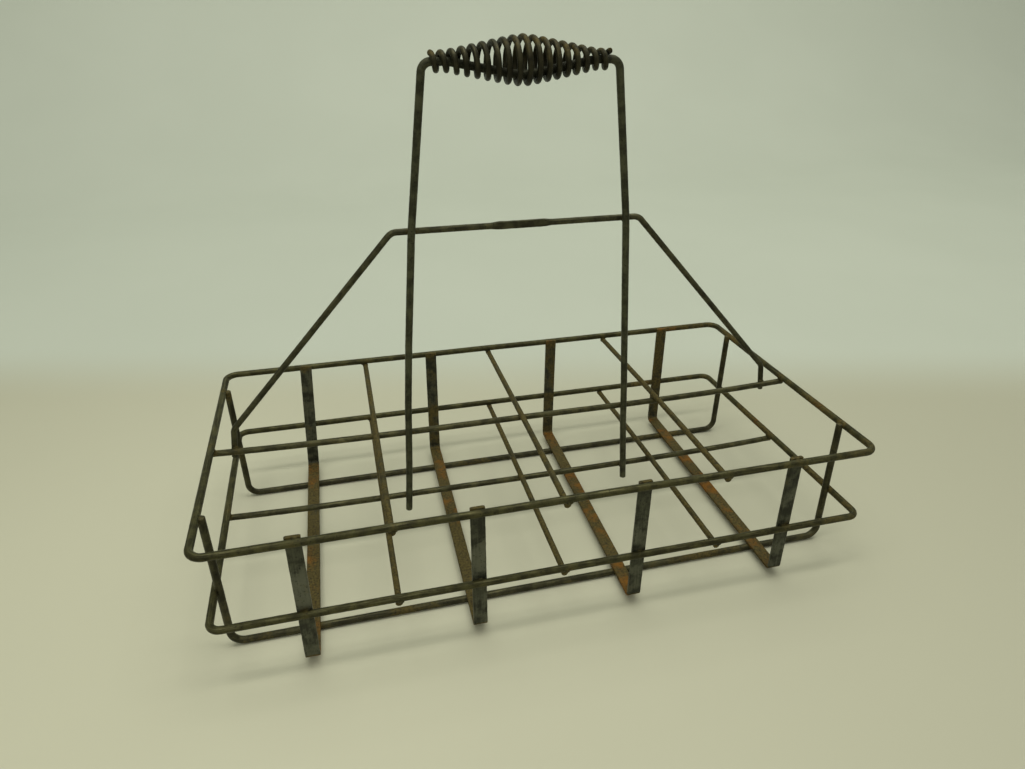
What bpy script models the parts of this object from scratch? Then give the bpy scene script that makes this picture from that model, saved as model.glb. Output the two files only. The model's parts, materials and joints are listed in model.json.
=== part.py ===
"""Wire carrier for eight quart milk bottles, two rows of four, with a coil grip on its handle.

Metres, +Z up. The origin is on the floor under the middle of the carrier, +X runs along its
length and -Y is its front. Every rod, strap and coil is a piece of its own: the real ones are
spot welded where they cross, and here each crossing keeps a small gap in place of the weld.
"""
import math

import bmesh
import bpy
from mathutils import Vector

# Stock
FRAME_WIRE = 0.00476      # rim, ring, runners and handle
DIVIDER_WIRE = 0.0044     # long dividers
THIN_WIRE = 0.0040        # cross dividers and brace
COIL_WIRE = 0.0034
STRAP_WIDTH = 0.0090
STRAP_THICKNESS = 0.0024
WELD_GAP = 0.0003         # between the surfaces of two crossing pieces

# Basket
BASKET_LENGTH = 0.4286    # wire centre to wire centre
BASKET_DEPTH = 0.2190
RIM_CORNER = 0.0085        # radius of the hoop's bends
RING_CORNER = 0.0070
RIM_HEIGHT = 0.0980
RING_HEIGHT = 0.0438
CELL_PITCH = 0.1060
CELL_SHIFT = -0.0010      # the cells sit a little left of the middle
RUNNER_SPACING = 0.1590   # between the two wires the carrier stands on
RUNNER_BEND = 0.0085
RUNNER_END_RISE = 0.0010  # how far a runner's ends stand above the middle of the rim
FRONT_RUNNER_LEAN = 0.0040    # the front runner's ends lean to the rear by this much
STRAP_BEND = 0.0032
STRAP_END_RISE = 0.0024   # the strap's ends are level with the top of the rim wire
DIVIDER_SAG = 0.0028      # the long dividers bow down where the cross wires press on them
DIVIDER_OVERHANG = 0.0010
CROSS_OVERHANG = 0.0005

# Handle
HANDLE_SHIFT = -0.0027    # the handle stands a little left of the middle
HANDLE_FOOT = (0.0852, 0.0265)     # half width and height of a leg's lower end
HANDLE_KNEE = (0.0695, 0.2350)
HANDLE_TOP = (0.0574, 0.3296)
KNEE_RADIUS = 0.3000
HANDLE_BEND = 0.0060
BRACE_FOOT = (0.2005, 0.0876)
BRACE_ANKLE = (0.1973, 0.1085)
BRACE_SHOULDER = (0.0813, 0.2350)
BRACE_BEND = 0.0080
STAMPED_LENGTH = 0.0370   # flattened stretch in the middle of the brace
STAMPED_HEIGHT = 0.0051
STAMPED_THICKNESS = 0.0028

# Coil grip
COIL_TURNS = 18
COIL_LENGTH = 0.1052      # between the ends of the wire's centre line
COIL_END_DIAMETER = 0.0121
COIL_BELLY_DIAMETER = 0.0276
COIL_POINTS_PER_TURN = 16
CONE_STEEPNESS = 1.30     # fullness lost from the middle to the ends, if it fell all the way
CONE_ROUNDING = 0.10      # fullness that the rounded middle takes off the cones' peak
GRIP_CLEARANCE = 0.0005   # between the coil's inside and the sagging bar

END_X = BASKET_LENGTH / 2
SIDE_Y = BASKET_DEPTH / 2
HANDLE_Y = -((FRAME_WIRE + DIVIDER_WIRE) / 2 + WELD_GAP)    # welded in front of the long dividers
GRIP_CENTRE = Vector((HANDLE_SHIFT, HANDLE_Y, HANDLE_TOP[1]))

STEEL = (0.050, 0.047, 0.033)
HANDLE_STEEL = (0.032, 0.030, 0.024)
BROWNED_STEEL = (0.075, 0.060, 0.032)
RUSTED_STEEL = (0.120, 0.075, 0.030)


def touching(first, second):
    """Distance between the centres of two round wires that cross."""
    return (first + second) / 2 + WELD_GAP


def start_clean():
    for item in list(bpy.data.objects):
        bpy.data.objects.remove(item, do_unlink=True)


def new_collection(name):
    group = bpy.data.collections.new(name)
    bpy.context.scene.collection.children.link(group)
    return group


def steel(name, colour, roughness=0.55, metallic=0.6):
    material = bpy.data.materials.new(name)
    material.use_nodes = True
    shader = material.node_tree.nodes["Principled BSDF"]
    shader.inputs["Base Color"].default_value = (*colour, 1.0)
    shader.inputs["Roughness"].default_value = roughness
    shader.inputs["Metallic"].default_value = metallic
    return material


def fillet(before, corner, after, radius, steps):
    """Points of the arc that rounds a corner between two straight runs."""
    back = (before - corner).normalized()
    ahead = (after - corner).normalized()
    half_turn = (math.pi - back.angle(ahead)) / 2
    reach = radius * math.tan(half_turn)
    bisector = (back + ahead).normalized()
    centre = corner + bisector * (radius / math.cos(half_turn))
    spoke = (corner + back * reach) - centre
    across = (corner + ahead * reach) - centre
    side = (across - spoke * math.cos(2 * half_turn)) / math.sin(2 * half_turn)
    angles = [2 * half_turn * i / steps for i in range(steps + 1)]
    return [centre + spoke * math.cos(a) + side * math.sin(a) for a in angles]


def rounded(corners, radii, closed=False, steps=6):
    """A path through corners, each rounded to its own radius; the ends of an open one stay sharp."""
    count = len(corners)
    path = []
    for i, corner in enumerate(corners):
        if not closed and i in (0, count - 1):
            path.append(corner)
            continue
        path += fillet(corners[i - 1], corner, corners[(i + 1) % count], radii[i], steps)
    return path


def add_wire(name, path, diameter, material, group, closed=False, origin=Vector()):
    """A round wire along a path given in world coordinates."""
    curve = bpy.data.curves.new(name, "CURVE")
    curve.dimensions = "3D"
    curve.bevel_depth = diameter / 2
    curve.bevel_resolution = 2
    curve.use_fill_caps = True
    spline = curve.splines.new("POLY")
    spline.points.add(len(path) - 1)
    for point, place in zip(spline.points, path):
        point.co = (*(place - origin), 1.0)
    spline.use_cyclic_u = closed
    curve.materials.append(material)
    wire = bpy.data.objects.new(name, curve)
    wire.location = origin
    group.objects.link(wire)
    return wire


def add_hoop(name, height, corner_radius, material, group):
    """The rim and the ring below it: a closed rectangle of wire with bent corners."""
    signs = ((-1, -1), (1, -1), (1, 1), (-1, 1))
    corners = [Vector((x * END_X, y * SIDE_Y, height)) for x, y in signs]
    path = rounded(corners, [corner_radius] * 4, closed=True)
    return add_wire(name, path, FRAME_WIRE, material, group, closed=True)


def add_runner(name, y, lean, material, group):
    """A wire the carrier stands on, whose ends turn up inside the hoops to the rim."""
    end_x = END_X - touching(FRAME_WIRE, FRAME_WIRE)
    floor = FRAME_WIRE / 2
    top = RIM_HEIGHT + RUNNER_END_RISE
    left = [Vector((-end_x, y + lean, top)), Vector((-end_x, y, floor))]
    right = [Vector((end_x, y, floor)), Vector((end_x, y + lean, top))]
    return add_wire(name, rounded(left + right, [RUNNER_BEND] * 4), FRAME_WIRE, material, group)


def strap_centre_line():
    """The strap's path in its own plane: down inside the front rim, across and up to the rear rim."""
    leg_y = SIDE_Y - FRAME_WIRE / 2 - WELD_GAP - STRAP_THICKNESS / 2
    floor = FRAME_WIRE + WELD_GAP + STRAP_THICKNESS / 2
    top = RIM_HEIGHT + STRAP_END_RISE
    corners = [Vector((y, z, 0)) for y, z in ((-leg_y, top), (-leg_y, floor), (leg_y, floor), (leg_y, top))]
    return rounded(corners, [STRAP_BEND] * 4)


def offset_path(path, distance):
    """A path moved sideways in its plane by a distance."""
    moved = []
    for i, point in enumerate(path):
        ahead = (path[min(i + 1, len(path) - 1)] - point).normalized()
        behind = (point - path[max(i - 1, 0)]).normalized()
        along = (ahead + behind).normalized()
        normal = Vector((-along.y, along.x, 0))
        stretch = 1 / math.sqrt((1 + ahead.dot(behind)) / 2) if ahead.length and behind.length else 1
        moved.append(point + normal * distance * stretch)
    return moved


def add_strap(name, x, material, group):
    """A flat strap bent to a U, drawn as an outline in its plane and given the strap's width."""
    line = strap_centre_line()
    outline = offset_path(line, STRAP_THICKNESS / 2)
    outline += reversed(offset_path(line, -STRAP_THICKNESS / 2))
    curve = bpy.data.curves.new(name, "CURVE")
    curve.dimensions = "2D"
    curve.fill_mode = "BOTH"
    curve.extrude = STRAP_WIDTH / 2
    spline = curve.splines.new("POLY")
    spline.points.add(len(outline) - 1)
    for point, place in zip(spline.points, outline):
        point.co = (*place, 1.0)
    spline.use_cyclic_u = True
    curve.materials.append(material)
    strap = bpy.data.objects.new(name, curve)
    strap.rotation_euler = (math.pi / 2, 0, math.pi / 2)
    strap.location = (x, 0, 0)
    group.objects.link(strap)
    return strap


def divider_height(end_height, x):
    """The long dividers are level in the middle and rise to their welds at the ends."""
    return end_height - DIVIDER_SAG * (1 - (x / END_X) ** 4)


def add_long_divider(name, hoop_height, material, group):
    """Welded under the hoop's short sides."""
    end_height = hoop_height - touching(FRAME_WIRE, DIVIDER_WIRE)
    reach = END_X + DIVIDER_OVERHANG
    steps = 16
    places = [reach * (2 * i / steps - 1) for i in range(steps + 1)]
    path = [Vector((x, 0, divider_height(end_height, x))) for x in places]
    return add_wire(name, path, DIVIDER_WIRE, material, group)


def add_cross_divider(name, x, hoop_height, material, group):
    """A cross wire passes under the hoop's long sides and arches over the long divider."""
    end_height = hoop_height - touching(FRAME_WIRE, THIN_WIRE)
    below = divider_height(hoop_height - touching(FRAME_WIRE, DIVIDER_WIRE), x)
    crest = below + touching(DIVIDER_WIRE, THIN_WIRE)
    reach = SIDE_Y + CROSS_OVERHANG
    steps = 10
    places = [reach * (2 * i / steps - 1) for i in range(steps + 1)]
    path = [Vector((x, y, crest - (crest - end_height) * (y / SIDE_Y) ** 2)) for y in places]
    return add_wire(name, path, THIN_WIRE, material, group)


def belly(place):
    """The coil's fullness along the bar, from place -1 to 1: two cones that meet in a rounded
    middle, where it is 1, and stop short of the ends, where it is 0."""
    cone = math.hypot(CONE_STEEPNESS * place, CONE_ROUNDING)
    return max(0, 1 + CONE_ROUNDING - cone)


def coil_radius(place):
    """Radius of the coil wire's centre line."""
    diameter = COIL_END_DIAMETER + (COIL_BELLY_DIAMETER - COIL_END_DIAMETER) * belly(place)
    return (diameter - COIL_WIRE) / 2


def bar_sag(place):
    """The top bar follows the inside of the coil's underside, just clear of it."""
    room = coil_radius(place) - (COIL_WIRE + FRAME_WIRE) / 2 - GRIP_CLEARANCE
    return max(room, 0)


def add_handle(name, material, group):
    """One rod: a leg, the sagging top bar inside the coil and the other leg."""
    def side(sign):
        corners = [HANDLE_FOOT, HANDLE_KNEE, HANDLE_TOP]
        return [Vector((HANDLE_SHIFT + sign * w, HANDLE_Y, z)) for w, z in corners]

    middle = Vector((HANDLE_SHIFT, HANDLE_Y, HANDLE_TOP[1]))
    left = rounded(side(-1) + [middle], [0, KNEE_RADIUS, HANDLE_BEND, 0])[:-1]
    right = rounded(side(1) + [middle], [0, KNEE_RADIUS, HANDLE_BEND, 0])[:-1]
    steps = 24
    bar = []
    for i in range(1, steps):
        place = 2 * i / steps - 1
        bar.append(middle + Vector((place * COIL_LENGTH / 2, 0, -bar_sag(place))))
    return add_wire(name, left + bar + right[::-1], FRAME_WIRE, material, group)


def brace_y(height):
    """The brace is welded behind the upper divider and leans forward to the handle's legs."""
    low = BRACE_ANKLE[1]
    share = (height - low) / (BRACE_SHOULDER[1] - low)
    return touching(DIVIDER_WIRE, THIN_WIRE) * (1 - min(max(share, 0), 1))


def add_block(name, size, place, group):
    bpy.ops.mesh.primitive_cube_add(size=1, location=place)
    block = bpy.context.object
    block.name = name
    block.scale = size
    bpy.ops.object.transform_apply(location=False, rotation=False, scale=True)
    for owner in list(block.users_collection):
        owner.objects.unlink(block)
    group.objects.link(block)
    return block


def as_mesh(wire, group):
    """The same piece as a closed mesh, so that it can be cut and joined."""
    evaluated = wire.evaluated_get(bpy.context.evaluated_depsgraph_get())
    mesh = bpy.data.meshes.new_from_object(evaluated)
    shape = bmesh.new()
    shape.from_mesh(mesh)
    bmesh.ops.remove_doubles(shape, verts=shape.verts, dist=0.00001)
    shape.to_mesh(mesh)
    shape.free()
    name = wire.name
    place = wire.matrix_world.copy()
    bpy.data.objects.remove(wire, do_unlink=True)
    piece = bpy.data.objects.new(name, mesh)
    piece.matrix_world = place
    group.objects.link(piece)
    return piece


def cut_or_join(piece, tool, operation):
    """A Boolean with a tool that is hidden and kept with the cutters."""
    tool.hide_render = True
    tool.display_type = "WIRE"
    boolean = piece.modifiers.new(tool.name, "BOOLEAN")
    boolean.operation = operation
    boolean.object = tool
    boolean.solver = "EXACT"


def add_brace(name, material, group, cutters):
    """A bent wire over the dividers, flattened in the middle where a maker would stamp it."""
    outline = [BRACE_FOOT, BRACE_ANKLE, BRACE_SHOULDER]
    left = [(-w, z) for w, z in outline]
    right = [(w, z) for w, z in reversed(outline)]
    corners = []
    for x, z in left + right:
        shift = HANDLE_SHIFT if z == BRACE_SHOULDER[1] else CELL_SHIFT
        corners.append(Vector((x + shift, brace_y(z), z)))
    path = rounded(corners, [BRACE_BEND] * 6)
    wire = add_wire(name, path, THIN_WIRE, material, group)
    bpy.context.view_layer.update()
    brace = as_mesh(wire, group)

    middle = Vector((HANDLE_SHIFT, 0, BRACE_SHOULDER[1]))
    spread = add_block("stamped_spread", (STAMPED_LENGTH, STAMPED_THICKNESS, STAMPED_HEIGHT), middle, cutters)
    cut_or_join(brace, spread, "UNION")
    for side in (-1, 1):
        place = middle + Vector((0, side * (STAMPED_THICKNESS + THIN_WIRE) / 2, 0))
        size = (STAMPED_LENGTH * 0.94, THIN_WIRE, STAMPED_HEIGHT * 2)
        press = add_block(f"stamping_press_{'front' if side < 0 else 'rear'}", size, place, cutters)
        cut_or_join(brace, press, "DIFFERENCE")
    return brace


def add_grip(name, material, group):
    """A barrel shaped open coil around the top bar, which turns about the line between its ends."""
    steps = COIL_TURNS * COIL_POINTS_PER_TURN
    path = []
    for i in range(steps + 1):
        place = 2 * i / steps - 1
        turn = 2 * math.pi * i / COIL_POINTS_PER_TURN
        radius = coil_radius(place)
        around = Vector((0, -radius * math.sin(turn), radius * math.cos(turn)))
        path.append(GRIP_CENTRE + Vector((place * COIL_LENGTH / 2, 0, 0)) + around)
    return add_wire(name, path, COIL_WIRE, material, group, origin=GRIP_CENTRE)


def build():
    start_clean()
    carrier = new_collection("milk_bottle_crate")
    cutters = new_collection("cutters")

    hoop_steel = steel("hoop_steel", STEEL)
    add_hoop("top_rim", RIM_HEIGHT, RIM_CORNER, hoop_steel, carrier)
    add_hoop("middle_ring", RING_HEIGHT, RING_CORNER, hoop_steel, carrier)

    runner_steel = steel("runner_steel", STEEL)
    add_runner("front_runner", -RUNNER_SPACING / 2, FRONT_RUNNER_LEAN, runner_steel, carrier)
    add_runner("rear_runner", RUNNER_SPACING / 2, 0, runner_steel, carrier)

    strap_steel = steel("strap_steel", RUSTED_STEEL, roughness=0.75, metallic=0.3)
    for i in range(4):
        x = (i - 1.5) * CELL_PITCH + CELL_SHIFT
        add_strap(f"strap_{i + 1}", x, strap_steel, carrier)

    divider_steel = steel("divider_steel", STEEL)
    add_long_divider("upper_long_divider", RIM_HEIGHT, divider_steel, carrier)
    add_long_divider("lower_long_divider", RING_HEIGHT, divider_steel, carrier)

    cross_steel = steel("cross_steel", BROWNED_STEEL, roughness=0.65, metallic=0.45)
    for i in range(3):
        x = (i - 1) * CELL_PITCH + CELL_SHIFT
        add_cross_divider(f"upper_cross_divider_{i + 1}", x, RIM_HEIGHT, cross_steel, carrier)
        add_cross_divider(f"lower_cross_divider_{i + 1}", x, RING_HEIGHT, cross_steel, carrier)

    add_handle("handle_frame", steel("handle_steel", HANDLE_STEEL), carrier)
    add_brace("brace_wire", steel("brace_steel", STEEL), carrier, cutters)
    add_grip("coil_grip", steel("coil_steel", HANDLE_STEEL, roughness=0.5), carrier)


build()
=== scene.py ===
"""Looks of the wire milk bottle carrier: worn steel rod, rusted straps and a dark coil grip.

Metres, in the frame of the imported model: origin on the floor under the middle, +X along the
length, -Y the front, +Z up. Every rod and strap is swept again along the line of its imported
node, at full roundness, with cut ends, bends, welds, wander and small dents, and replaces it.
"""

import json
import math

import bmesh
import bpy
from mathutils import Matrix, Vector, kdtree, noise


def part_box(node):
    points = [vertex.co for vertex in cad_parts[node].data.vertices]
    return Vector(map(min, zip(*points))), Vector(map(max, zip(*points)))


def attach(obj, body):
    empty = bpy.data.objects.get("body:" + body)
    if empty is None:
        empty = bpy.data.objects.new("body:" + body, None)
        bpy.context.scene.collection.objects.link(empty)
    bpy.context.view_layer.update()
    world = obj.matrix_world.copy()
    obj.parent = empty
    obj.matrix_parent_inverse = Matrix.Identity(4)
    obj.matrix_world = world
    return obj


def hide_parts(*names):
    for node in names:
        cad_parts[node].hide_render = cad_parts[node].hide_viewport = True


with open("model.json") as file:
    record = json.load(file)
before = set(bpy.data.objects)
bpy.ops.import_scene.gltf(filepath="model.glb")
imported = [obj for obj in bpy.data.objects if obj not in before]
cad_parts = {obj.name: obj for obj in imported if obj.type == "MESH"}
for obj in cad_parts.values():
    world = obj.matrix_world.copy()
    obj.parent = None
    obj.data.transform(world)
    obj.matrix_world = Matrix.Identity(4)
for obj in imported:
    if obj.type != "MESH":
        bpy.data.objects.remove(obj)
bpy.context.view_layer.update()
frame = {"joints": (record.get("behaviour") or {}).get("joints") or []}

# Shapes that a node's box doesn't give
RIM_CORNER = 0.0085
RING_CORNER = 0.0070
RUNNER_BEND = 0.0085
STRAP_THICKNESS = 0.0024
STRAP_BEND = 0.0032
STRAP_EDGE = 0.0005        # rounding of the strap's edges
HANDLE_KNEE = (0.0695, 0.2350)     # half width and height
HANDLE_TOP_HALF_WIDTH = 0.0574
KNEE_RADIUS = 0.30
HANDLE_BEND = 0.0060
BRACE_ANKLE = (0.1973, 0.1085)
BRACE_SHOULDER = (0.0813, 0.2350)
BRACE_BEND = 0.0080
STAMPED_LENGTH = 0.0420
STAMPED_HALF_HEIGHT = 0.00255
STAMPED_HALF_THICKNESS = 0.0014
STAMPED_EASE = 0.0070      # over this length the round wire turns into the flat
STAMPED_CORNERS = 0.6      # how boxy the flat is: 0 for an oval, 1 for square corners
COIL_TURNS = 18
COIL_END_DIAMETER = 0.0121
COIL_WIRE = 0.0034
CONE_STEEPNESS = 1.30
CONE_ROUNDING = 0.10
GRIP_CLEARANCE = 0.0005

# Where the real carrier strays from the straight and square one
WELD_CLOSE = 0.0008        # crossing pieces sink into each other at their welds
RUNNER_CLOSE = 0.0020
REAR_FOOT_INSET = 0.0015   # the straps' rear legs lean out to the rim
DIVIDER_RAISE = 0.0008
BASKET_TAPER = 0.0040      # the basket's front is shorter by this share, and its rear longer
BASKET_SKEW = -0.0008      # its rear stands this far along +X, and its front the other way

# How far along +X each strap's front foot, front end, rear foot and rear end stray
STRAP_STRAY = (
    (0.0000, 0.0012, -0.0010, 0.0052),
    (-0.0012, -0.0011, 0.0000, 0.0016),
    (-0.0015, -0.0016, 0.0008, 0.0020),
    (-0.0003, -0.0024, 0.0018, 0.0018),
)

# The same for the front and the rear end of the cross dividers
CROSS_STRAY = ((0.0018, -0.0004), (0.0004, -0.0008), (0.0009, -0.0006))

# How far the handle's legs stand outside their straight lines, as heights and distances
LEFT_LEG_STRAY = (
    (0.035, 0.0003), (0.065, 0.0004), (0.115, 0.0013),
    (0.160, 0.0012), (0.220, 0.0002), (0.235, 0.0),
)
RIGHT_LEG_STRAY = ((0.075, 0.0003), (0.115, 0.0008), (0.340, 0.0011))

# How bare each strap's front leg is rubbed halfway up, and how brown its rear leg is
STRAP_LEGS = ((1.10, 0.15), (0.85, 0.30), (0.65, 0.35), (0.60, 0.45))

# The rust along each strap's bottom, as places from its rear bend (0) to its front bend (1)
# and amounts
STRAP_RUST = (
    (
        (0.0, 0.90), (0.12, 0.80), (0.30, 0.50), (0.48, 0.65),
        (0.57, 1.05), (0.64, 0.60), (0.80, 0.65), (1.0, 0.80),
    ),
    (
        (0.0, 0.60), (0.14, 0.70), (0.20, 1.00), (0.36, 0.65),
        (0.44, 0.95), (0.60, 0.75), (0.85, 0.60), (1.0, 0.90),
    ),
    (
        (0.0, 1.00), (0.12, 0.70), (0.28, 0.70), (0.33, 1.25),
        (0.44, 0.85), (0.62, 0.60), (0.85, 0.75), (1.0, 0.90),
    ),
    (
        (0.0, 1.25), (0.10, 0.85), (0.28, 0.80), (0.34, 1.25), (0.40, 0.80),
        (0.52, 1.25), (0.66, 0.65), (0.84, 0.75), (1.0, 1.20),
    ),
)

RING_SEGMENT = 0.0020      # length of one segment along a wire
ROUND_SIDES = 20
BRACE_SIDES = 24
ARC_STEPS = 14             # segments in a bend
COIL_STEPS = 40            # segments in one turn of the coil
SHARP_ANGLE = math.radians(50)

UP = Vector((0, 0, 1))
ACROSS = Vector((0, 1, 0))
ALONG = Vector((1, 0, 0))


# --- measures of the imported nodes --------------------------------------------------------

def middle(node):
    low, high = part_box(node)
    return (low + high) / 2


def half(node):
    low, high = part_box(node)
    return (high - low) / 2


ROD = half("top_rim").z
DIVIDER_ROD = half("upper_long_divider").y
THIN_ROD = half("upper_cross_divider_2").x
END_X = half("top_rim").x - ROD
SIDE_Y = half("top_rim").y - ROD
RIM_Z = middle("top_rim").z
RING_Z = middle("middle_ring").z
COIL_BELLY_DIAMETER = 2 * half("coil_grip").z


# --- paths -------------------------------------------------------------------------------

WANDER = 0.00025
WANDER_LENGTH = 0.09
WANDER_SEED = 7

noise.seed_set(WANDER_SEED)     # without it noise_vector starts from the clock


def fillet(before, corner, after, radius):
    """Points of the arc that rounds a corner between two straight runs."""
    back = (before - corner).normalized()
    ahead = (after - corner).normalized()
    half_turn = (math.pi - back.angle(ahead)) / 2
    reach = radius * math.tan(half_turn)
    centre = corner + (back + ahead).normalized() * (radius / math.cos(half_turn))
    spoke = (corner + back * reach) - centre
    across = (corner + ahead * reach) - centre
    side = (across - spoke * math.cos(2 * half_turn)) / math.sin(2 * half_turn)
    angles = [2 * half_turn * i / ARC_STEPS for i in range(ARC_STEPS + 1)]
    return [centre + spoke * math.cos(a) + side * math.sin(a) for a in angles]


def rounded(corners, radii, closed=False):
    """A path through the corners, each rounded to its radius."""
    count = len(corners)
    path = []
    for i, corner in enumerate(corners):
        if not closed and i in (0, count - 1):
            path.append(corner)
        else:
            path += fillet(corners[i - 1], corner, corners[(i + 1) % count], radii[i])
    if closed:
        path.append(path[0].copy())
    return path


def evenly(path, spacing=RING_SEGMENT):
    """The path with points no further apart than the spacing."""
    points = [path[0]]
    for start, end in zip(path, path[1:]):
        parts = max(1, math.ceil((end - start).length / spacing))
        points += [start.lerp(end, i / parts) for i in range(1, parts + 1)]
    return points


def hand_bent(path, seed):
    """Small slow wander of a rod that was straightened and bent by hand."""
    offset = Vector((seed * 7.3, seed * 1.9, 0))
    wander = [noise.noise_vector(point / WANDER_LENGTH + offset) for point in path]
    return [point + way * WANDER for point, way in zip(path, wander)]


def out_of_square(place):
    """The basket's hoops and runners are a little out of square."""
    share = place.y / SIDE_Y
    return Vector((place.x * (1 + BASKET_TAPER * share) + BASKET_SKEW * share, place.y, place.z))


def along_profile(place, profile):
    """The value at a place, between the pairs of place and value in rising order."""
    for (start, first), (end, second) in zip(profile, profile[1:]):
        if place <= end:
            return first + (second - first) * max(0.0, place - start) / (end - start)
    return profile[-1][1]


def clamped(value):
    """The value, kept from 0 to 1."""
    return min(max(value, 0), 1)


# --- sweeping ----------------------------------------------------------------------------

DENT_SCALES = (420, 1300)       # of the broad and the fine dents, per metre
FINE_DENTS = 0.6                # how deep the fine ones are beside the broad ones
WIRE_DENT = 0.00006
STRAP_DENT = 0.00010
COIL_DENT = 0.00004
CHAMFER = 0.0004                # of a cut end, and how wide its face stays
CUT_SHARE = 0.84
CROSS_CHAMFER = 0.0003
CROSS_CUT_SHARE = 0.90


def circle(radius, sides=ROUND_SIDES):
    angles = [2 * math.pi * i / sides for i in range(sides)]
    return [(radius * math.cos(a), radius * math.sin(a)) for a in angles]


def flat_bar(half_width, half_thickness, edge):
    """Outline of a strap's section: long flats with rounded edges."""
    arc_steps = 3
    flat_steps = 6
    outline = []
    for k, (sx, sy) in enumerate(((1, 1), (-1, 1), (-1, -1), (1, -1))):
        centre = (sx * (half_width - edge), sy * (half_thickness - edge))
        for i in range(arc_steps + 1):
            a = (k + i / arc_steps) * math.pi / 2
            outline.append((centre[0] + edge * math.cos(a), centre[1] + edge * math.sin(a)))
        if k in (0, 2):
            start = outline[-1]
            end_x = -sx * (half_width - edge)
            for i in range(1, flat_steps):
                outline.append((start[0] + (end_x - start[0]) * i / flat_steps, start[1]))
    return outline


def frames(path, side, closed):
    """Normal, binormal and tangent at each point of a path close to the plane across side."""
    count = len(path)
    result = []
    for i in range(count):
        ahead = path[min(i + 1, count - 1)]
        behind = path[max(i - 1, 0)]
        if closed and i in (0, count - 1):
            ahead = path[1]
            behind = path[count - 2]
        tangent = (ahead - behind).normalized()
        binormal = (side - tangent * side.dot(tangent)).normalized()
        result.append((binormal.cross(tangent), binormal, tangent))
    return result


def scaled(outline, share):
    return [(a * share, b * share) for a, b in outline]


def with_cut_ends(rings, turned, chamfer, length, cut_share):
    """A cut end: the last ring is smaller, and a full ring stands a little before it."""
    first = rings[0]
    final = rings[-1]
    start = (*first[:3], scaled(first[3], cut_share), 0.0)
    inner = (first[0] + turned[0][2] * chamfer, *first[1:4], chamfer)
    before = (final[0] - turned[-1][2] * chamfer, *final[1:4], length - chamfer)
    end = (*final[:3], scaled(final[3], cut_share), length)
    return [start, inner] + rings[1:-1] + [before, end]


def round_section(radius):
    outline = circle(radius)
    return lambda along, length: outline


def upset_section(radius, swelling, reach):
    """A rod whose cut ends were pressed a little fatter by their welds."""
    outline = circle(radius)

    def section(along, length):
        from_end = min(along, length - along)
        return scaled(outline, 1 + swelling * max(0.0, 1 - from_end / reach))

    return section


def sweep(
    name, path, side, section, seed,
    closed=False, chamfer=CHAMFER, cut_share=CUT_SHARE, dent=WIRE_DENT,
):
    """A mesh swept along a path. section(distance, length) gives the outline at a distance along
    it, in the plane's normal and binormal. Its grain attribute is the place in the rod as if
    it were straight, so that drawn streaks follow every bend."""
    distances = [0.0]
    for start, end in zip(path, path[1:]):
        distances.append(distances[-1] + (end - start).length)
    length = distances[-1]
    turned = frames(path, side, closed)
    rings = []
    for point, (normal, binormal, tangent), along in zip(path, turned, distances):
        rings.append((point, normal, binormal, section(along, length), along))
    if not closed:
        rings = with_cut_ends(rings, turned, chamfer, length, cut_share)
    vertices = []
    grain = []
    offset = Vector((seed * 0.37, seed * 0.11, seed * 0.23))
    broad, fine = DENT_SCALES
    for point, normal, binormal, outline, along in rings:
        for a, b in outline:
            spoke = normal * a + binormal * b
            place = point + spoke
            bump = noise.noise(place * broad) + FINE_DENTS * noise.noise(place * fine)
            vertices.append(place + spoke.normalized() * dent * bump)
            grain.append(Vector((along, a, b)) + offset)
    sides = len(rings[0][3])
    last = len(rings) - 1
    faces = []
    corners = []
    for i in range(last):
        for j in range(sides):
            k = (j + 1) % sides
            quad = [i * sides + j, i * sides + k, (i + 1) * sides + k, (i + 1) * sides + j]
            corners += [grain[n] for n in quad]
            if closed and i == last - 1:
                quad[2:] = [k, j]
            faces.append(quad)
    if closed:
        vertices = vertices[:last * sides]
    else:
        first_cap = list(range(sides))[::-1]
        last_cap = list(range(last * sides, (last + 1) * sides))
        faces += [first_cap, last_cap]
        corners += [grain[n] for n in first_cap + last_cap]
    mesh = bpy.data.meshes.new(name)
    mesh.from_pydata(vertices, [], faces)
    layer = mesh.attributes.new("grain", "FLOAT_VECTOR", "CORNER")
    layer.data.foreach_set("vector", [number for corner in corners for number in corner])
    mesh.shade_smooth()
    mesh.set_sharp_from_angle(angle=SHARP_ANGLE)
    piece = bpy.data.objects.new(name, mesh)
    bpy.context.scene.collection.objects.link(piece)
    return piece


# --- materials ---------------------------------------------------------------------------

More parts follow.
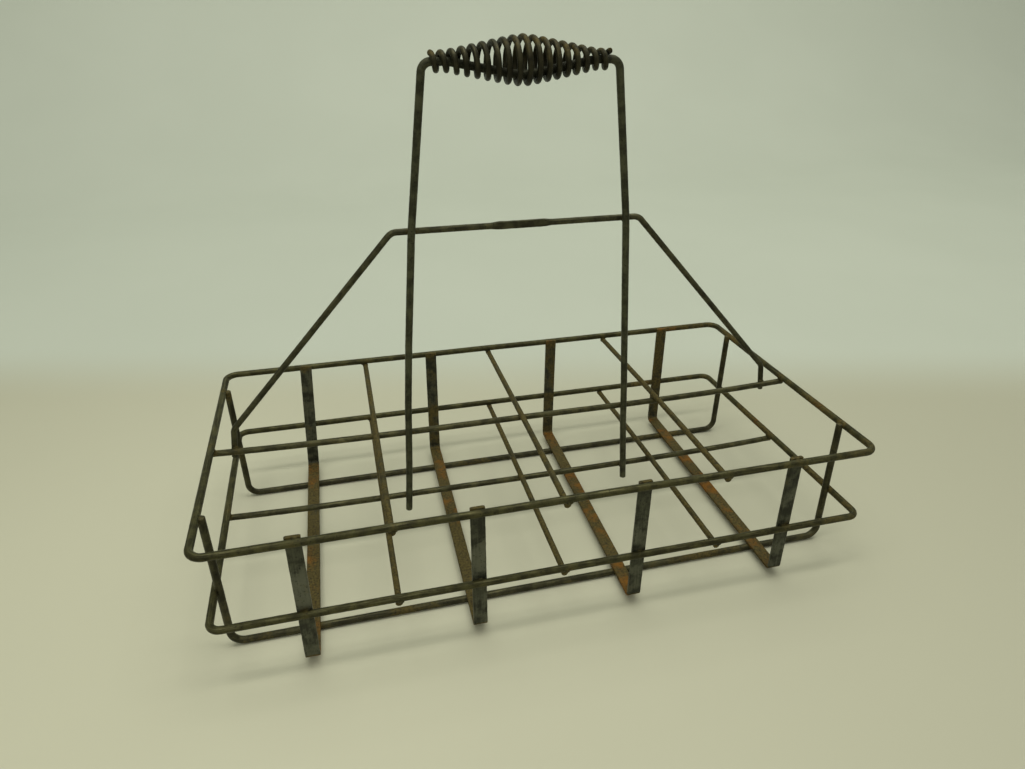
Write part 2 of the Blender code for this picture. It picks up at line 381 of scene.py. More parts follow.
class Graph:
    """A material's nodes, added and joined in one line each."""

    def __init__(self, name):
        self.material = bpy.data.materials.new(name)
        self.material.use_nodes = True
        self.tree = self.material.node_tree
        self.shader = self.tree.nodes["Principled BSDF"]

    def put(self, socket, value):
        if isinstance(value, bpy.types.NodeSocket):
            self.tree.links.new(value, socket)
        else:
            socket.default_value = value

    def add(self, kind, inputs=None, output=0, **settings):
        node = self.tree.nodes.new(kind)
        for key, value in settings.items():
            setattr(node, key, value)
        for key, value in (inputs or {}).items():
            self.put(node.inputs[key], value)
        return node.outputs[output]

    def attribute(self, name, output="Vector"):
        return self.add("ShaderNodeAttribute", attribute_name=name, output=output)

    def stretched(self, vector, scale):
        return self.add("ShaderNodeVectorMath", {0: vector, 1: scale}, operation="MULTIPLY")

    def measure(self, vector, other, operation):
        """A number from two vectors, such as their distance."""
        inputs = {0: vector, 1: other}
        return self.add("ShaderNodeVectorMath", inputs, output=1, operation=operation)

    def noise(self, vector, scale, detail=4.0, roughness=0.55):
        inputs = {"Vector": vector, "Scale": scale, "Detail": detail, "Roughness": roughness}
        return self.add("ShaderNodeTexNoise", inputs)

    def band(self, value, low, high):
        """0 below low, 1 above high, smooth between."""
        inputs = {"Value": value, "From Min": low, "From Max": high}
        return self.add("ShaderNodeMapRange", inputs, interpolation_type="SMOOTHSTEP")

    def math(self, operation, first, second):
        return self.add("ShaderNodeMath", {0: first, 1: second}, operation=operation)

    def times(self, first, second):
        return self.math("MULTIPLY", first, second)

    def plus(self, first, second):
        return self.math("ADD", first, second)

    def mix(self, factor, first, second):
        inputs = {0: factor, 6: first, 7: second}
        return self.add("ShaderNodeMix", inputs, output=2, data_type="RGBA")

    def blend_value(self, factor, first, second):
        return self.add("ShaderNodeMix", {0: factor, 2: first, 3: second}, data_type="FLOAT")


def rgb(red, green, blue):
    return (red, green, blue, 1.0)


def times(colour, factor):
    return rgb(*(channel * factor for channel in colour[:3]))


BROWN_FILM = rgb(0.086, 0.065, 0.016)
RUST = rgb(0.200, 0.083, 0.006)
# Near black, for dark pits and for painted shade
SHADE_AND_PIT_BLACK = rgb(0.007, 0.007, 0.005)
PALE = rgb(0.165, 0.155, 0.074)
COOL_PALE = rgb(0.165, 0.170, 0.130)

# Scales of the noises, per metre; the first two are much longer along the rod than around it
STREAKS = (55, 900, 900)
SCRATCHES = (170, 3000, 3000)
CLOUDS = 26.0
BLOTCHES = 110.0
SPECKS = 620.0

# How strongly the paints act
RUST_ON_FILM = 0.60
RUST_ON_GRAINS = 0.30
WEAR_ON_PATCHES = 0.30
WEAR_SHOWN = 0.60

BARE_METALLIC = 0.55
COVERED_ROUGHNESS = 0.84
SPECULAR = 0.32
BUMP_STRENGTH = 0.7
BUMP_DISTANCE = 0.00018


def aged_steel(name, dark, pale, film_level, streak_and_highlight_level):
    """Old bare steel: blotched dark oxide, paler streaks along the rod where it was rubbed, made
    stronger on upward faces as a painted highlight, a thin brown film, and grainy orange rust.
    The rust paint brings on the film and then the rust. The rubbing paint bares the steel where
    it is positive, and there it also carries a painted highlight at the straps' rear bends. Where
    it is negative it blackens the steel: painted shade on the handle's bar and the coil's
    underside, and a darker stamping on the brace."""
    g = Graph(name)
    place = g.add("ShaderNodeTexCoord", output="Object")
    facing = g.add("ShaderNodeTexCoord", output="Normal")
    top_highlight_share = g.band(g.add("ShaderNodeSeparateXYZ", {0: facing}, output=2), -0.3, 0.9)
    grain = g.attribute("grain")
    painted_rust = g.attribute("rust", "Fac")
    painted_rub_and_light = g.attribute("rub_and_painted_light", "Fac")

    streak = g.noise(g.stretched(grain, STREAKS), 1.0, 4.0, 0.65)
    scratch = g.noise(g.stretched(grain, SCRATCHES), 1.0, 2.0)
    cloud = g.noise(place, CLOUDS, 3.0, 0.5)
    blotch = g.noise(place, BLOTCHES, 5.0, 0.65)
    speck = g.noise(place, SPECKS, 3.0, 0.6)

    colour = g.mix(g.band(blotch, 0.38, 0.64), times(dark, 0.62), times(dark, 1.50))
    # Pale streaks of rubbed steel, made stronger on upward faces as a painted highlight along the
    # tops
    streak_wear_and_highlight = g.times(g.band(streak, 0.47, 0.64), g.band(cloud, 0.25, 0.60))
    streak_wear_and_highlight = g.times(g.times(streak_wear_and_highlight, g.blend_value(top_highlight_share, 0.22, 1.0)), streak_and_highlight_level)
    patches = g.plus(g.times(blotch, 0.6), g.times(streak, 0.4))
    patches = g.plus(patches, g.times(painted_rub_and_light, WEAR_ON_PATCHES))
    # Rubbed patches from the rubbing paint, which also carries the painted highlight at the
    # straps' rear bends
    rubbed_and_highlit = g.times(g.band(patches, 0.60, 0.78), g.times(painted_rub_and_light, WEAR_SHOWN))
    colour = g.mix(g.math("MAXIMUM", streak_wear_and_highlight, rubbed_and_highlit), colour, pale)

    field = g.plus(g.times(cloud, 0.35), g.times(blotch, 0.65))
    brown = g.plus(g.plus(field, g.times(painted_rust, RUST_ON_FILM)), film_level)
    film = g.band(brown, 0.58, 0.76)
    film_tone = g.mix(g.band(speck, 0.35, 0.65), times(BROWN_FILM, 0.60), times(BROWN_FILM, 1.25))
    colour = g.mix(g.times(film, 0.94), colour, film_tone)

    grains = g.plus(g.plus(g.times(cloud, 0.40), g.times(blotch, 0.48)), g.times(speck, 0.12))
    rusted = g.band(g.plus(grains, g.times(painted_rust, RUST_ON_GRAINS)), 0.72, 0.90)
    rust_tone = g.mix(g.band(grains, 0.40, 0.60), times(RUST, 0.42), RUST)
    colour = g.mix(g.times(rusted, 0.92), colour, rust_tone)

    # Dark pits, and painted shade where the rubbing paint is negative, are mixed in as near black
    pits = g.math("SUBTRACT", 1.0, g.band(speck, 0.31, 0.41))
    pits_and_painted_shade = g.math("MAXIMUM", g.times(pits, 0.65), g.times(painted_rub_and_light, -1.0))
    colour = g.mix(pits_and_painted_shade, colour, SHADE_AND_PIT_BLACK)
    g.put(g.shader.inputs["Base Color"], colour)

    covered = g.math("MAXIMUM", g.times(film, 0.6), rusted)
    g.put(g.shader.inputs["Metallic"], g.blend_value(covered, BARE_METALLIC, 0.0))
    rough = g.blend_value(g.band(streak, 0.36, 0.64), 0.60, 0.38)
    g.put(g.shader.inputs["Roughness"], g.blend_value(covered, rough, COVERED_ROUGHNESS))
    g.put(g.shader.inputs["Specular IOR Level"], SPECULAR)
    height = g.plus(g.times(scratch, 0.55), g.times(speck, 0.60))
    height = g.plus(height, g.times(rusted, g.times(speck, 1.4)))
    bump = {"Strength": BUMP_STRENGTH, "Distance": BUMP_DISTANCE, "Height": height}
    g.put(g.shader.inputs["Normal"], g.add("ShaderNodeBump", bump))
    return g.material


# Dark and pale colour, how much brown film there is without any paint, and how strong the pale
# streaks are: rubbed steel, with a painted highlight on the upper side
STEELS = {
    "hoop_steel": (rgb(0.045, 0.042, 0.015), PALE, 0.00, 0.45),
    "runner_steel": (rgb(0.046, 0.043, 0.021), PALE, 0.06, 0.40),
    "strap_steel": (rgb(0.044, 0.046, 0.030), COOL_PALE, -0.04, 0.35),
    "divider_steel": (rgb(0.050, 0.047, 0.021), PALE, 0.02, 0.50),
    "cross_steel": (rgb(0.074, 0.064, 0.027), PALE, 0.13, 0.35),
    "handle_steel": (rgb(0.055, 0.057, 0.033), PALE, -0.06, 0.35),
    "brace_steel": (rgb(0.052, 0.050, 0.026), PALE, 0.0, 0.50),
    "coil_steel": (rgb(0.032, 0.029, 0.015), PALE, 0.0, 0.35),
}
materials = {name: aged_steel(name, *look) for name, look in STEELS.items()}


# --- pieces, welds and paint -------------------------------------------------------------

# Half width and half thickness of the beads
BEAD = (0.0026, 0.0012)
STRAP_LEG_BEAD = (0.0024, 0.0010)
STRAP_FOOT_BEAD = (0.0028, 0.0010)
CROSS_END_BEAD = (0.0025, 0.0013)
CROSS_MIDDLE_BEAD = (0.0022, 0.0012)
BEAD_LUMPS = 0.16

WELD_RUST = 0.35
WELD_RUST_REACH = 0.007

beads = []
unpainted = []


def nothing(place):
    return 0.0


def stand_for(piece, node, slot, body="frame", rust_at=nothing, rub_and_painted_light_at=nothing):
    """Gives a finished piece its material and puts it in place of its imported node."""
    piece.data.materials.append(materials[slot])
    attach(piece, body)
    if node:
        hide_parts(node)
    unpainted.append((piece, rust_at, rub_and_painted_light_at))


def bead(place, first, second, shape=BEAD):
    """The metal squeezed out where two pieces that run along first and second touch."""
    beads.append((out_of_square(Vector(place)), first, second, shape))


def near_weld(tree, place):
    """1 at a weld, falling to 0 away from every one."""
    distance = tree.find(place)[2]
    return max(0.0, 1 - distance / WELD_RUST_REACH)


def spot(place, centre, reach):
    """1 at the centre, falling to 0 at the reach."""
    return max(0.0, 1 - (place - Vector(centre)).length / reach)


def add_beads():
    """Every bead in one mesh, each a rough flat lump."""
    lumps = bmesh.new()
    for k, (place, first, second, (size, thickness)) in enumerate(beads):
        made = bmesh.ops.create_icosphere(lumps, subdivisions=3, radius=1.0)
        through = first.cross(second).normalized()
        turn = Matrix((first, through.cross(first), through)).transposed()
        for vertex in made["verts"]:
            rough = 1 + BEAD_LUMPS * noise.noise(vertex.co * 1.7 + Vector((k * 3.1, 0, 0)))
            local = Vector((vertex.co.x * size, vertex.co.y * size, vertex.co.z * thickness))
            vertex.co = place + turn @ (local * rough)
    mesh = bpy.data.meshes.new("weld_beads")
    lumps.to_mesh(mesh)
    lumps.free()
    layer = mesh.attributes.new("grain", "FLOAT_VECTOR", "POINT")
    layer.data.foreach_set("vector", [number for vertex in mesh.vertices for number in vertex.co])
    mesh.shade_smooth()
    piece = bpy.data.objects.new("weld_beads", mesh)
    bpy.context.scene.collection.objects.link(piece)
    stand_for(piece, None, "hoop_steel")


def paint(piece, name, amount_at):
    """Stores the amount at each vertex, for the material to read."""
    layer = piece.data.attributes.new(name, "FLOAT", "POINT")
    layer.data.foreach_set("value", [amount_at(vertex.co) for vertex in piece.data.vertices])


def paint_all():
    """Every piece gets the rust it asked for, its rubbing with the painted highlight and shade it
    asked for, and a little rust around the welds.
    """
    tree = kdtree.KDTree(len(beads))
    for i, made in enumerate(beads):
        tree.insert(made[0], i)
    tree.balance()
    for piece, rust_at, rub_and_painted_light_at in unpainted:
        paint(piece, "rust", lambda place: rust_at(place) + WELD_RUST * near_weld(tree, place))
        paint(piece, "rub_and_painted_light", rub_and_painted_light_at)


# --- basket ------------------------------------------------------------------------------

HOOP_RUST = {              # x, y and reach of the rusty places
    "top_rim": ((0.2135, -0.048, 0.014), (0.2135, 0.068, 0.008), (0.17, SIDE_Y, 0.02)),
    "middle_ring": ((0.2135, 0.02, 0.03), (0.2135, -0.06, 0.02), (0.15, SIDE_Y, 0.02)),
}
HOOP_SPOT_RUST = 0.9
RIGHT_END_RUST = 0.22
RIGHT_END_START = 0.12     # the hoops' right end browns from here on
RIGHT_END_RISE = 0.09

RUNNER_RUST = {            # x and reach of the rusty places
    "front_runner": ((-0.19, 0.02), (-0.10, 0.03), (0.12, 0.04)),
    "rear_runner": ((0.16, 0.03), (-0.02, 0.02)),
}
RUNNER_SPOT_RUST = 0.35

STRAP_BOTTOM_FADE = 0.0015      # how far the bottom's rust climbs the legs
FRONT_LEG_BROWN = 0.10
LEG_END_BROWN = 0.45            # more at the cut ends, over the last stretch
LEG_END_REACH = 0.003
LEG_RUB_START = 0.0010          # above the bottom's upper face
REAR_LEG_RUB = 0.55
REAR_BEND_HIGHLIGHT = 0.45            # a painted highlight at the rear bend, where light catches it
REAR_BEND_HEIGHT = 0.0022       # above the bottom's upper face
REAR_BEND_REACH = 0.0015
FRONT_RUB_HEIGHT = 0.060        # above the floor, with the rubbed stretch's half length and fade
FRONT_RUB_HALF_LENGTH = 0.010
FRONT_RUB_FADE = 0.018
FOOT_RUB = 0.60                 # of the front legs, below this height
FOOT_RUB_HEIGHT = 0.036
FOOT_RUB_FADE = 0.004

CROSS_BROWN = 0.15
SCRAPE_X = -0.130               # a bright scrape on the upper long divider
SCRAPE_REACH = 0.0045
SCRAPE_WEAR = 1.6

LONG_UPSET = (0.06, 0.004)      # swelling at the cut ends, and how far it reaches
CROSS_UPSET = (0.14, 0.0035)


def add_hoop(node, corner_radius, seed):
    """The rim or the ring: a closed rectangle of wire with bent corners."""
    height = middle(node).z
    signs = ((-1, 1), (-1, -1), (1, -1), (1, 1))
    corners = [Vector((x * END_X, y * SIDE_Y, height)) for x, y in signs]
    path = evenly(rounded(corners, [corner_radius] * 4, closed=True))
    path = hand_bent([out_of_square(point) for point in path], seed)

    def rust_at(place):
        right = clamped((place.x - RIGHT_END_START) / RIGHT_END_RISE)
        spots = [spot(place, (x, y, height), reach) for x, y, reach in HOOP_RUST[node]]
        return RIGHT_END_RUST * right + HOOP_SPOT_RUST * max(spots)

    piece = sweep(node + "_wire", path, UP, round_section(ROD), closed=True, seed=seed)
    stand_for(piece, node, "hoop_steel", rust_at=rust_at)


def add_runner(node, seed):
    """The wire that the carrier stands on; its ends may lean to the rear."""
    low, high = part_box(node)
    foot_y = low.y + ROD
    lean = (high.y - low.y) - 2 * ROD
    floor = low.z + ROD
    end_x = high.x - ROD + RUNNER_CLOSE
    top = high.z
    left = [Vector((-end_x, foot_y + lean, top)), Vector((-end_x, foot_y, floor))]
    right = [Vector((end_x, foot_y, floor)), Vector((end_x, foot_y + lean, top))]
    path = [out_of_square(point) for point in rounded(left + right, [RUNNER_BEND] * 4)]
    for side in (-1, 1):
        for hoop in (RIM_Z, RING_Z):
            y = foot_y + lean * (hoop - floor) / (top - floor)
            bead((side * (end_x + ROD), y, hoop), UP, ACROSS)

    def rust_at(place):
        spots = [spot(place, (x, foot_y, floor), reach) for x, reach in RUNNER_RUST[node]]
        return RUNNER_SPOT_RUST * max(spots)

    piece = sweep(node + "_wire", evenly(path), ACROSS, round_section(ROD), seed=seed)
    stand_for(piece, node, "runner_steel", rust_at=rust_at)


def add_strap(node, seed, stray, legs, rust_profile):
    """A flat strap bent to a U, whose feet and ends stray a little along the carrier."""
    low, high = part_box(node)
    x = middle(node).x
    leg_y = high.y - STRAP_THICKNESS / 2 + WELD_CLOSE
    floor = low.z + STRAP_THICKNESS / 2 - WELD_CLOSE
    top = high.z
    rear_foot_y = leg_y - REAR_FOOT_INSET
    places = ((-leg_y, top), (-leg_y, floor), (rear_foot_y, floor), (leg_y, top))
    path = evenly(rounded([Vector((x, y, z)) for y, z in places], [STRAP_BEND] * 4))
    front_foot, front_end, rear_foot, rear_end = stray
    rub, rear_brown = legs

    def sideways(y, z):
        climb = clamped((z - floor) / (top - floor))
        rearward = (y + leg_y) / (2 * leg_y)
        front = front_foot + (front_end - front_foot) * climb
        rear = rear_foot + (rear_end - rear_foot) * climb
        return front + (rear - front) * rearward

    for point in path:
        point.x += sideways(point.y, point.z)
    for y in (-leg_y, leg_y):
        out = math.copysign(STRAP_THICKNESS / 2, y)
        for hoop in (RIM_Z, RING_Z):
            bead((x + sideways(y, hoop), y + out, hoop), ALONG, UP, STRAP_LEG_BEAD)
    for runner in ("front_runner", "rear_runner"):
        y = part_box(runner)[0].y + ROD
        foot = (x + sideways(y, floor), y, floor - STRAP_THICKNESS / 2)
        bead(foot, ALONG, ACROSS, STRAP_FOOT_BEAD)
    bar = flat_bar(half(node).x, STRAP_THICKNESS / 2, STRAP_EDGE)
    outline = [(b, a) for a, b in reversed(bar)]
    bottom_top = floor + STRAP_THICKNESS / 2

    def rust_at(place):
        rusty = along_profile((rear_foot_y - place.y) / (rear_foot_y + leg_y), rust_profile)
        leg = clamped((place.z - bottom_top) / STRAP_BOTTOM_FADE)
        end = clamped((place.z - RIM_Z) / LEG_END_REACH)
        brown = rear_brown if place.y > 0 else FRONT_LEG_BROWN
        return rusty * (1 - leg) + (brown + LEG_END_BROWN * end) * leg

    def rub_and_painted_light_at(place):
        height = place.z - bottom_top
        if height < LEG_RUB_START:
            return 0.0
        if place.y > 0:
            # A painted highlight along the rear bend, where light catches it
            bend = max(0.0, 1 - abs(height - REAR_BEND_HEIGHT) / REAR_BEND_REACH)
            return REAR_LEG_RUB + REAR_BEND_HIGHLIGHT * bend
        past = max(0.0, abs(place.z - FRONT_RUB_HEIGHT) - FRONT_RUB_HALF_LENGTH)
        halfway = 1 - past / FRONT_RUB_FADE
        foot = min((FOOT_RUB_HEIGHT - place.z) / FOOT_RUB_FADE, 1.0)
        return max(rub * halfway, FOOT_RUB * foot, 0.0)

    def section(along, length):
        return outline

    piece = sweep(node + "_strip", path, ALONG, section, seed=seed, dent=STRAP_DENT)
    stand_for(piece, node, "strap_steel", rust_at=rust_at, rub_and_painted_light_at=rub_and_painted_light_at)


def add_long_divider(node, seed, rub_and_painted_light_at=nothing):
    """A wire along the carrier, welded under the short sides, that sags between them."""
    low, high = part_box(node)
    end_z = high.z - DIVIDER_ROD + DIVIDER_RAISE
    sag = (high.z - low.z) - 2 * DIVIDER_ROD
    steps = 24
    path = []
    for i in range(steps + 1):
        x = low.x + (high.x - low.x) * i / steps
        path.append(Vector((x, 0, end_z - sag * (1 - (x / END_X) ** 4))))
    for x in (-END_X, END_X):
        bead((x, 0, end_z + DIVIDER_ROD), ALONG, ACROSS)
    path = hand_bent(evenly(path), seed)
    section = upset_section(DIVIDER_ROD, *LONG_UPSET)
    piece = sweep(node + "_wire", path, ACROSS, section, seed=seed)
    stand_for(piece, node, "divider_steel", rub_and_painted_light_at=rub_and_painted_light_at)


def add_cross_divider(node, seed, stray):
    """A wire across the carrier, welded under the long sides and over the long divider."""
    low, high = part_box(node)
    end_z = low.z + THIN_ROD + DIVIDER_RAISE
    crest = high.z - THIN_ROD
    front_stray, rear_stray = stray

    def x_at(y):
        stray_here = front_stray + (rear_stray - front_stray) * (y + SIDE_Y) / (2 * SIDE_Y)
        return middle(node).x + stray_here

    steps = 20
    path = []
    for i in range(steps + 1):
        y = low.y + (high.y - low.y) * i / steps
        path.append(Vector((x_at(y), y, crest - (crest - end_z) * (y / SIDE_Y) ** 2)))
    for y in (-SIDE_Y, SIDE_Y):
        bead((x_at(y), y, end_z + THIN_ROD), ALONG, ACROSS, CROSS_END_BEAD)
    bead((x_at(0), 0, crest - THIN_ROD), ALONG, ACROSS, CROSS_MIDDLE_BEAD)
    section = upset_section(THIN_ROD, *CROSS_UPSET)
    path = hand_bent(evenly(path), seed)
    piece = sweep(
        node + "_wire", path, ALONG, section, seed=seed,
        chamfer=CROSS_CHAMFER, cut_share=CROSS_CUT_SHARE,
    )
    stand_for(piece, node, "cross_steel", rust_at=lambda place: CROSS_BROWN)


# --- handle ------------------------------------------------------------------------------

LEG_LEAN_RISE = 0.10            # below the knee the legs lean back onto the dividers
BAR_PAINTED_SHADE = -0.6                 # painted shade: the bar is black where it runs inside the coil, in its shadow
BAR_SHADE_DEPTH = 0.012          # below the coil's axis
STAMPED_RUST = 0.04
STAMPED_SOOT = -0.12
STAMPED_PAINT_DEPTH = 0.01      # below the brace's shoulders
HAMMER_MARKS = 0.05
HAMMER_SCALES = (300, 400)      # along the wire and around it, per metre
ANKLE_BEAD_OUT = 0.0016
CROWN_HEIGHT = 0.0100           # above its axis the coil is brown, rust with its lit side painted in, with a little rubbing and painted highlight, and below it is black, painted shade
CROWN_RUST_AND_LIT_TONE = 0.24
COIL_END_RUST = 0.60            # more at the crown's ends
COIL_END_START = 0.42           # from the coil's middle, as a share of its length
COIL_END_RISE = 0.08
CROWN_RUB_AND_HIGHLIGHT = 0.25
UNDERSIDE_PAINTED_SHADE = 0.6


def belly(place):
    """The coil's fullness along the bar, from place -1 to 1: two cones that meet in a rounded
    middle, where it is 1, and stop short of the ends, where it is 0."""
    cone = math.hypot(CONE_STEEPNESS * place, CONE_ROUNDING)
    return max(0, 1 + CONE_ROUNDING - cone)


def coil_radius(place):
    diameter = COIL_END_DIAMETER + (COIL_BELLY_DIAMETER - COIL_END_DIAMETER) * belly(place)
    return (diameter - COIL_WIRE) / 2


def bar_sag(place):
    return max(coil_radius(place) - COIL_WIRE / 2 - ROD - GRIP_CLEARANCE, 0)


def add_handle(coil_length, axis_z):
    """One rod: a leg, the bar that sags inside the coil, and the other leg."""
    foot_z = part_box("handle_frame")[0].z
    centre = middle("handle_frame")
    foot_half_width = half("handle_frame").x - ROD
    knee_half_width, knee_z = HANDLE_KNEE

    def side(sign):
        top = (HANDLE_TOP_HALF_WIDTH, axis_z)
        places = [(foot_half_width, foot_z), HANDLE_KNEE, top, (0, axis_z)]
        corners = [Vector((centre.x + sign * w, centre.y, z)) for w, z in places]
        return rounded(corners, [0, KNEE_RADIUS, HANDLE_BEND, 0])[:-1]

    def bowed(x, z):
        """A leg's place along the carrier, a little outside its straight line."""
        right = x > centre.x
        outward = along_profile(z, RIGHT_LEG_STRAY if right else LEFT_LEG_STRAY)
        share = min(abs(x - centre.x) / HANDLE_TOP_HALF_WIDTH, 1)
        return x + outward * share * (1 if right else -1)

    steps = 60
    bar = []
    for i in range(1, steps):
        place = 2 * i / steps - 1
        x = centre.x + place * coil_length / 2
        bar.append(Vector((x, centre.y, axis_z - bar_sag(place))))
    path = evenly(side(-1) + bar + side(1)[::-1])
    for point in path:
        point.x = bowed(point.x, point.z)
        point.y += WELD_CLOSE * clamped((knee_z - point.z) / LEG_LEAN_RISE)
    welds = []
    for divider in ("upper_long_divider", "lower_long_divider"):
        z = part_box(divider)[0].z + DIVIDER_ROD + DIVIDER_RAISE
        spread = (foot_half_width - knee_half_width) * (knee_z - z) / (knee_z - foot_z)
        welds.append((knee_half_width + spread, z))
    welds.append((knee_half_width, BRACE_SHOULDER[1]))
    for half_width, z in welds:
        for sign in (-1, 1):
            bead((bowed(centre.x + sign * half_width, z), centre.y + ROD, z), UP, ALONG)

    def rub_and_painted_light_at(place):
        # Painted shade on the bar where it runs inside the coil
        in_coil = abs(place.x - centre.x) < coil_length / 2
        return BAR_PAINTED_SHADE if place.z > axis_z - BAR_SHADE_DEPTH and in_coil else 0.0

    piece = sweep("handle_rod", path, ACROSS, round_section(ROD), seed=11)
    stand_for(piece, "handle_frame", "handle_steel", rub_and_painted_light_at=rub_and_painted_light_at)


def add_brace():
    """The bent wire over the dividers, hammered flat and rough in its middle."""
    low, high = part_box("brace_wire")
    centre_x = middle("handle_frame").x
    feet_x = middle("brace_wire").x
    foot = (half("brace_wire").x - THIN_ROD, low.z)
    foot_y = high.y - THIN_ROD - WELD_CLOSE
    left = [(-w, z) for w, z in (foot, BRACE_ANKLE, BRACE_SHOULDER)]
    right = [(-w, z) for w, z in reversed(left)]
    corners = []
    for w, z in left + right:
        upper = z == BRACE_SHOULDER[1]
        corners.append(Vector((w + (centre_x if upper else feet_x), 0 if upper else foot_y, z)))
    path = evenly(rounded(corners, [BRACE_BEND] * 6), RING_SEGMENT / 2)
    round_outline = circle(THIN_ROD, BRACE_SIDES)
    lengthwise, around = HAMMER_SCALES

    def section(along, length):
        from_middle = abs(along - length / 2)
        flat = clamped((STAMPED_LENGTH / 2 - from_middle) / STAMPED_EASE)
        flat = flat * flat * (3 - 2 * flat)
        outline = []
        for i, (a, b) in enumerate(round_outline):
            angle = 2 * math.pi * i / BRACE_SIDES
            reach = 1 / max(abs(math.cos(angle)), abs(math.sin(angle))) ** STAMPED_CORNERS
            tall = STAMPED_HALF_HEIGHT * math.cos(angle) * reach
            thin = STAMPED_HALF_THICKNESS * math.sin(angle) * reach
            mark = noise.noise(Vector((along * lengthwise, a * around, b * around)))
            hammered = 1 + HAMMER_MARKS * flat * mark
            place = (a + (tall - a) * flat, b + (thin - b) * flat)
            outline.append((place[0] * hammered, place[1] * hammered))
        return outline

    upper_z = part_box("upper_long_divider")[1].z - DIVIDER_ROD + DIVIDER_RAISE
    for sign in (-1, 1):
        x = feet_x + sign * (BRACE_ANKLE[0] + ANKLE_BEAD_OUT)
        bead((x, DIVIDER_ROD, upper_z), ALONG, UP)

    def in_stamping(place):
        high_up = place.z > BRACE_SHOULDER[1] - STAMPED_PAINT_DEPTH
        return high_up and abs(place.x - centre_x) < STAMPED_LENGTH / 2

    piece = sweep("brace_rod", path, ACROSS, section, seed=12)
    stand_for(
        piece, "brace_wire", "brace_steel",
        rust_at=lambda place: STAMPED_RUST if in_stamping(place) else 0.0,
        rub_and_painted_light_at=lambda place: STAMPED_SOOT if in_stamping(place) else 0.0,
    )


def add_coil():
    """The open coil that turns around the bar; its last turns hug the bar."""
    low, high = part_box("coil_grip")
    centre = Vector(frame["joints"][0]["pos_m"])
    length = (high.x - low.x) - COIL_WIRE
    steps = COIL_TURNS * COIL_STEPS
    path = []
    for i in range(steps + 1):
        place = 2 * i / steps - 1
        turn = 2 * math.pi * i / COIL_STEPS
        radius = coil_radius(place)
        around = Vector((0, -radius * math.sin(turn), radius * math.cos(turn)))
        path.append(centre + Vector((place * length / 2, 0, 0)) + around)
    section = round_section(COIL_WIRE / 2)
    piece = sweep("coil_wire", path, ALONG, section, seed=13, dent=COIL_DENT)

    def crown(place):
        return min(max((place.z - centre.z) / CROWN_HEIGHT, -1), 1)

    # Brown on the crown: rust, with the coil's lit upper side painted in; more rust at the ends
    def rust_at(place):
        past = max(0.0, abs(place.x - centre.x) - length * COIL_END_START)
        end = min(past / (length * COIL_END_RISE), 1)
        return (CROWN_RUST_AND_LIT_TONE + COIL_END_RUST * end) * max(crown(place), 0)

    # A little rubbing and painted highlight on the crown, and painted shade on the underside
    def rub_and_painted_light_at(place):
        return min(CROWN_RUB_AND_HIGHLIGHT * crown(place), UNDERSIDE_PAINTED_SHADE * crown(place))

    stand_for(piece, "coil_grip", "coil_steel", body="grip", rust_at=rust_at, rub_and_painted_light_at=rub_and_painted_light_at)
    return length, centre.z


# --- stage -------------------------------------------------------------------------------

CAMERA_PLACE = (-0.1118, -0.4170, 0.3502)
CAMERA_TARGET = (-0.0074, 0.0, 0.1196)
CAMERA_LENS = 23.94             # in millimetres, on a sensor of this width
SENSOR_WIDTH = 36.0

LIGHTS = (                      # name, place, target, size, watts and colour
    ("overhead", (-0.05, -0.20, 2.2), (-0.05, -0.1999, 0), (2.4, 0.36), 16, (1.0, 0.99, 0.86)),
    ("front_fill", (-0.9, -1.6, 1.7), (-0.3, -0.3, 0), (1.8, 1.8), 7, (1.0, 1.0, 0.88)),
    ("backdrop_wash", (0.7, 0.9, 2.6), (0.8, 1.85, 0.9), (3.4, 1.8), 28, (1.0, 1.0, 0.88)),
)
ROOM_COLOUR = rgb(0.97, 0.98, 0.82)
ROOM_STRENGTH = 0.36

BACKDROP_HALF_WIDTH = 9.0
BACKDROP_FRONT = -9.0
BACKDROP_BEND_START = 1.1
BACKDROP_BEND_RADIUS = 0.9
BACKDROP_BEND_STEPS = 24
BACKDROP_TOP = 4.0

# The paper is warm near the carrier and cool further back, and is painted darker away from a pool
# of light, as painted shade where a lamp's light falls off
VIEW_DIRECTION = (0.242, 0.970, 0.0)        # the camera's, along the floor
COOL_BAND = (0.18, 0.32)        # along the view direction
LIGHT_POOL_CENTRE = (-0.20, -0.15, 0.0)
FALLOFF_SHADE_BAND = (-0.10, 0.80)        # of the painted shade, away from the pool of light
WARM_TONES = (rgb(0.635, 0.627, 0.500), rgb(0.650, 0.642, 0.512))
FALLOFF_SHADE_TONE = rgb(0.480, 0.476, 0.380)
COOL_TONES = (rgb(0.560, 0.600, 0.535), rgb(0.575, 0.615, 0.550))
PAPER_ROUGHNESS = 0.55
PAPER_SPECULAR = 0.25


def paper():
    g = Graph("pale_paper")
    place = g.add("ShaderNodeTexCoord", output="Object")
    depth = g.measure(place, VIEW_DIRECTION, "DOT_PRODUCT")
    away = g.band(depth, *COOL_BAND)
    tone = g.band(g.noise(place, 3.0, 2.0), 0.3, 0.7)
    from_lit = g.measure(place, LIGHT_POOL_CENTRE, "DISTANCE")
    # Painted shade: the paper darkens away from the pool of light
    painted_falloff = g.band(from_lit, *FALLOFF_SHADE_BAND)
    near = g.mix(tone, *WARM_TONES)
    near = g.mix(painted_falloff, near, FALLOFF_SHADE_TONE)
    far = g.mix(tone, *COOL_TONES)
    g.put(g.shader.inputs["Base Color"], g.mix(away, near, far))
    g.put(g.shader.inputs["Roughness"], PAPER_ROUGHNESS)
    g.put(g.shader.inputs["Specular IOR Level"], PAPER_SPECULAR)
    return g.material


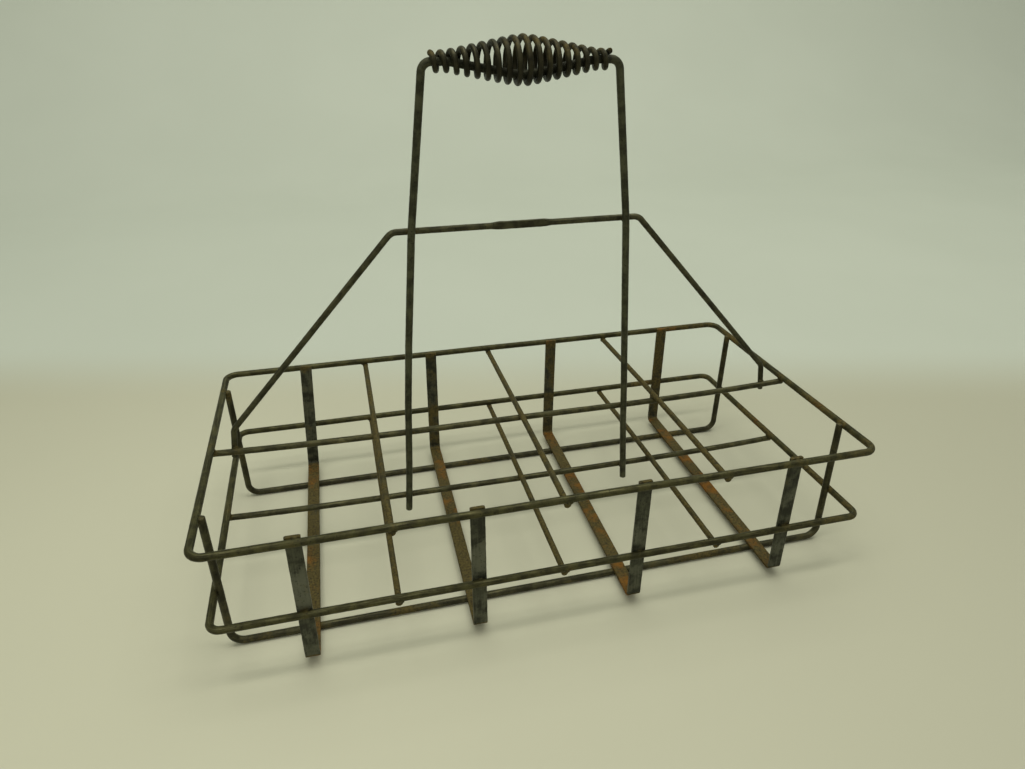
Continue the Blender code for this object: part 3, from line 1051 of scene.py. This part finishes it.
def add_floor():
    """A pale sheet that runs back from under the carrier and curves up behind it."""
    bend_end = BACKDROP_BEND_START + BACKDROP_BEND_RADIUS
    profile = [(BACKDROP_FRONT, 0.0), (BACKDROP_BEND_START, 0.0)]
    for i in range(1, BACKDROP_BEND_STEPS + 1):
        a = math.pi / 2 * i / BACKDROP_BEND_STEPS
        y = BACKDROP_BEND_START + BACKDROP_BEND_RADIUS * math.sin(a)
        profile.append((y, BACKDROP_BEND_RADIUS * (1 - math.cos(a))))
    profile.append((bend_end, BACKDROP_TOP))
    sides = (-BACKDROP_HALF_WIDTH, BACKDROP_HALF_WIDTH)
    vertices = [(x, y, z) for y, z in profile for x in sides]
    faces = [(2 * i, 2 * i + 1, 2 * i + 3, 2 * i + 2) for i in range(len(profile) - 1)]
    mesh = bpy.data.meshes.new("backdrop")
    mesh.from_pydata(vertices, [], faces)
    mesh.shade_smooth()
    floor = bpy.data.objects.new("backdrop", mesh)
    bpy.context.scene.collection.objects.link(floor)
    mesh.materials.append(paper())


def add_light(name, place, target, size, power, colour):
    data = bpy.data.lights.new(name, "AREA")
    data.shape = "RECTANGLE"
    data.size, data.size_y = size
    data.energy = power
    data.color = colour
    lamp = bpy.data.objects.new(name, data)
    lamp.location = place
    aim = Vector(target) - Vector(place)
    lamp.rotation_euler = aim.to_track_quat("-Z", "Y").to_euler()
    bpy.context.scene.collection.objects.link(lamp)


def add_camera():
    data = bpy.data.cameras.new("camera")
    data.lens = CAMERA_LENS
    data.sensor_width = SENSOR_WIDTH
    camera = bpy.data.objects.new("camera", data)
    camera.location = CAMERA_PLACE
    aim = Vector(CAMERA_TARGET) - camera.location
    camera.rotation_euler = aim.to_track_quat("-Z", "Y").to_euler()
    bpy.context.scene.collection.objects.link(camera)
    bpy.context.scene.camera = camera


def light_stage():
    add_floor()
    for light in LIGHTS:
        add_light(*light)
    world = bpy.data.worlds.new("soft_room")
    world.use_nodes = True
    background = world.node_tree.nodes["Background"]
    background.inputs["Color"].default_value = ROOM_COLOUR
    background.inputs["Strength"].default_value = ROOM_STRENGTH
    bpy.context.scene.world = world
    bpy.context.scene.view_settings.view_transform = "Standard"


# --- the carrier -------------------------------------------------------------------------

def build_carrier():
    """Every piece, with a seed of its own for its wander and dents."""
    add_hoop("top_rim", RIM_CORNER, 1)
    add_hoop("middle_ring", RING_CORNER, 2)
    add_runner("front_runner", 3)
    add_runner("rear_runner", 4)
    for number, strap in enumerate(zip(STRAP_STRAY, STRAP_LEGS, STRAP_RUST)):
        add_strap(f"strap_{number + 1}", 20 + number, *strap)
    scrape = (SCRAPE_X, -DIVIDER_ROD, middle("upper_long_divider").z)

    def scraped(place):
        return SCRAPE_WEAR * spot(place, scrape, SCRAPE_REACH)

    add_long_divider("upper_long_divider", 5, rub_and_painted_light_at=scraped)
    add_long_divider("lower_long_divider", 6)
    for number, stray in enumerate(CROSS_STRAY):
        add_cross_divider(f"upper_cross_divider_{number + 1}", 30 + number, stray)
        add_cross_divider(f"lower_cross_divider_{number + 1}", 33 + number, stray)
    coil_length, coil_axis = add_coil()
    add_handle(coil_length, coil_axis)
    add_brace()
    add_beads()
    paint_all()


add_camera()
light_stage()
build_carrier()
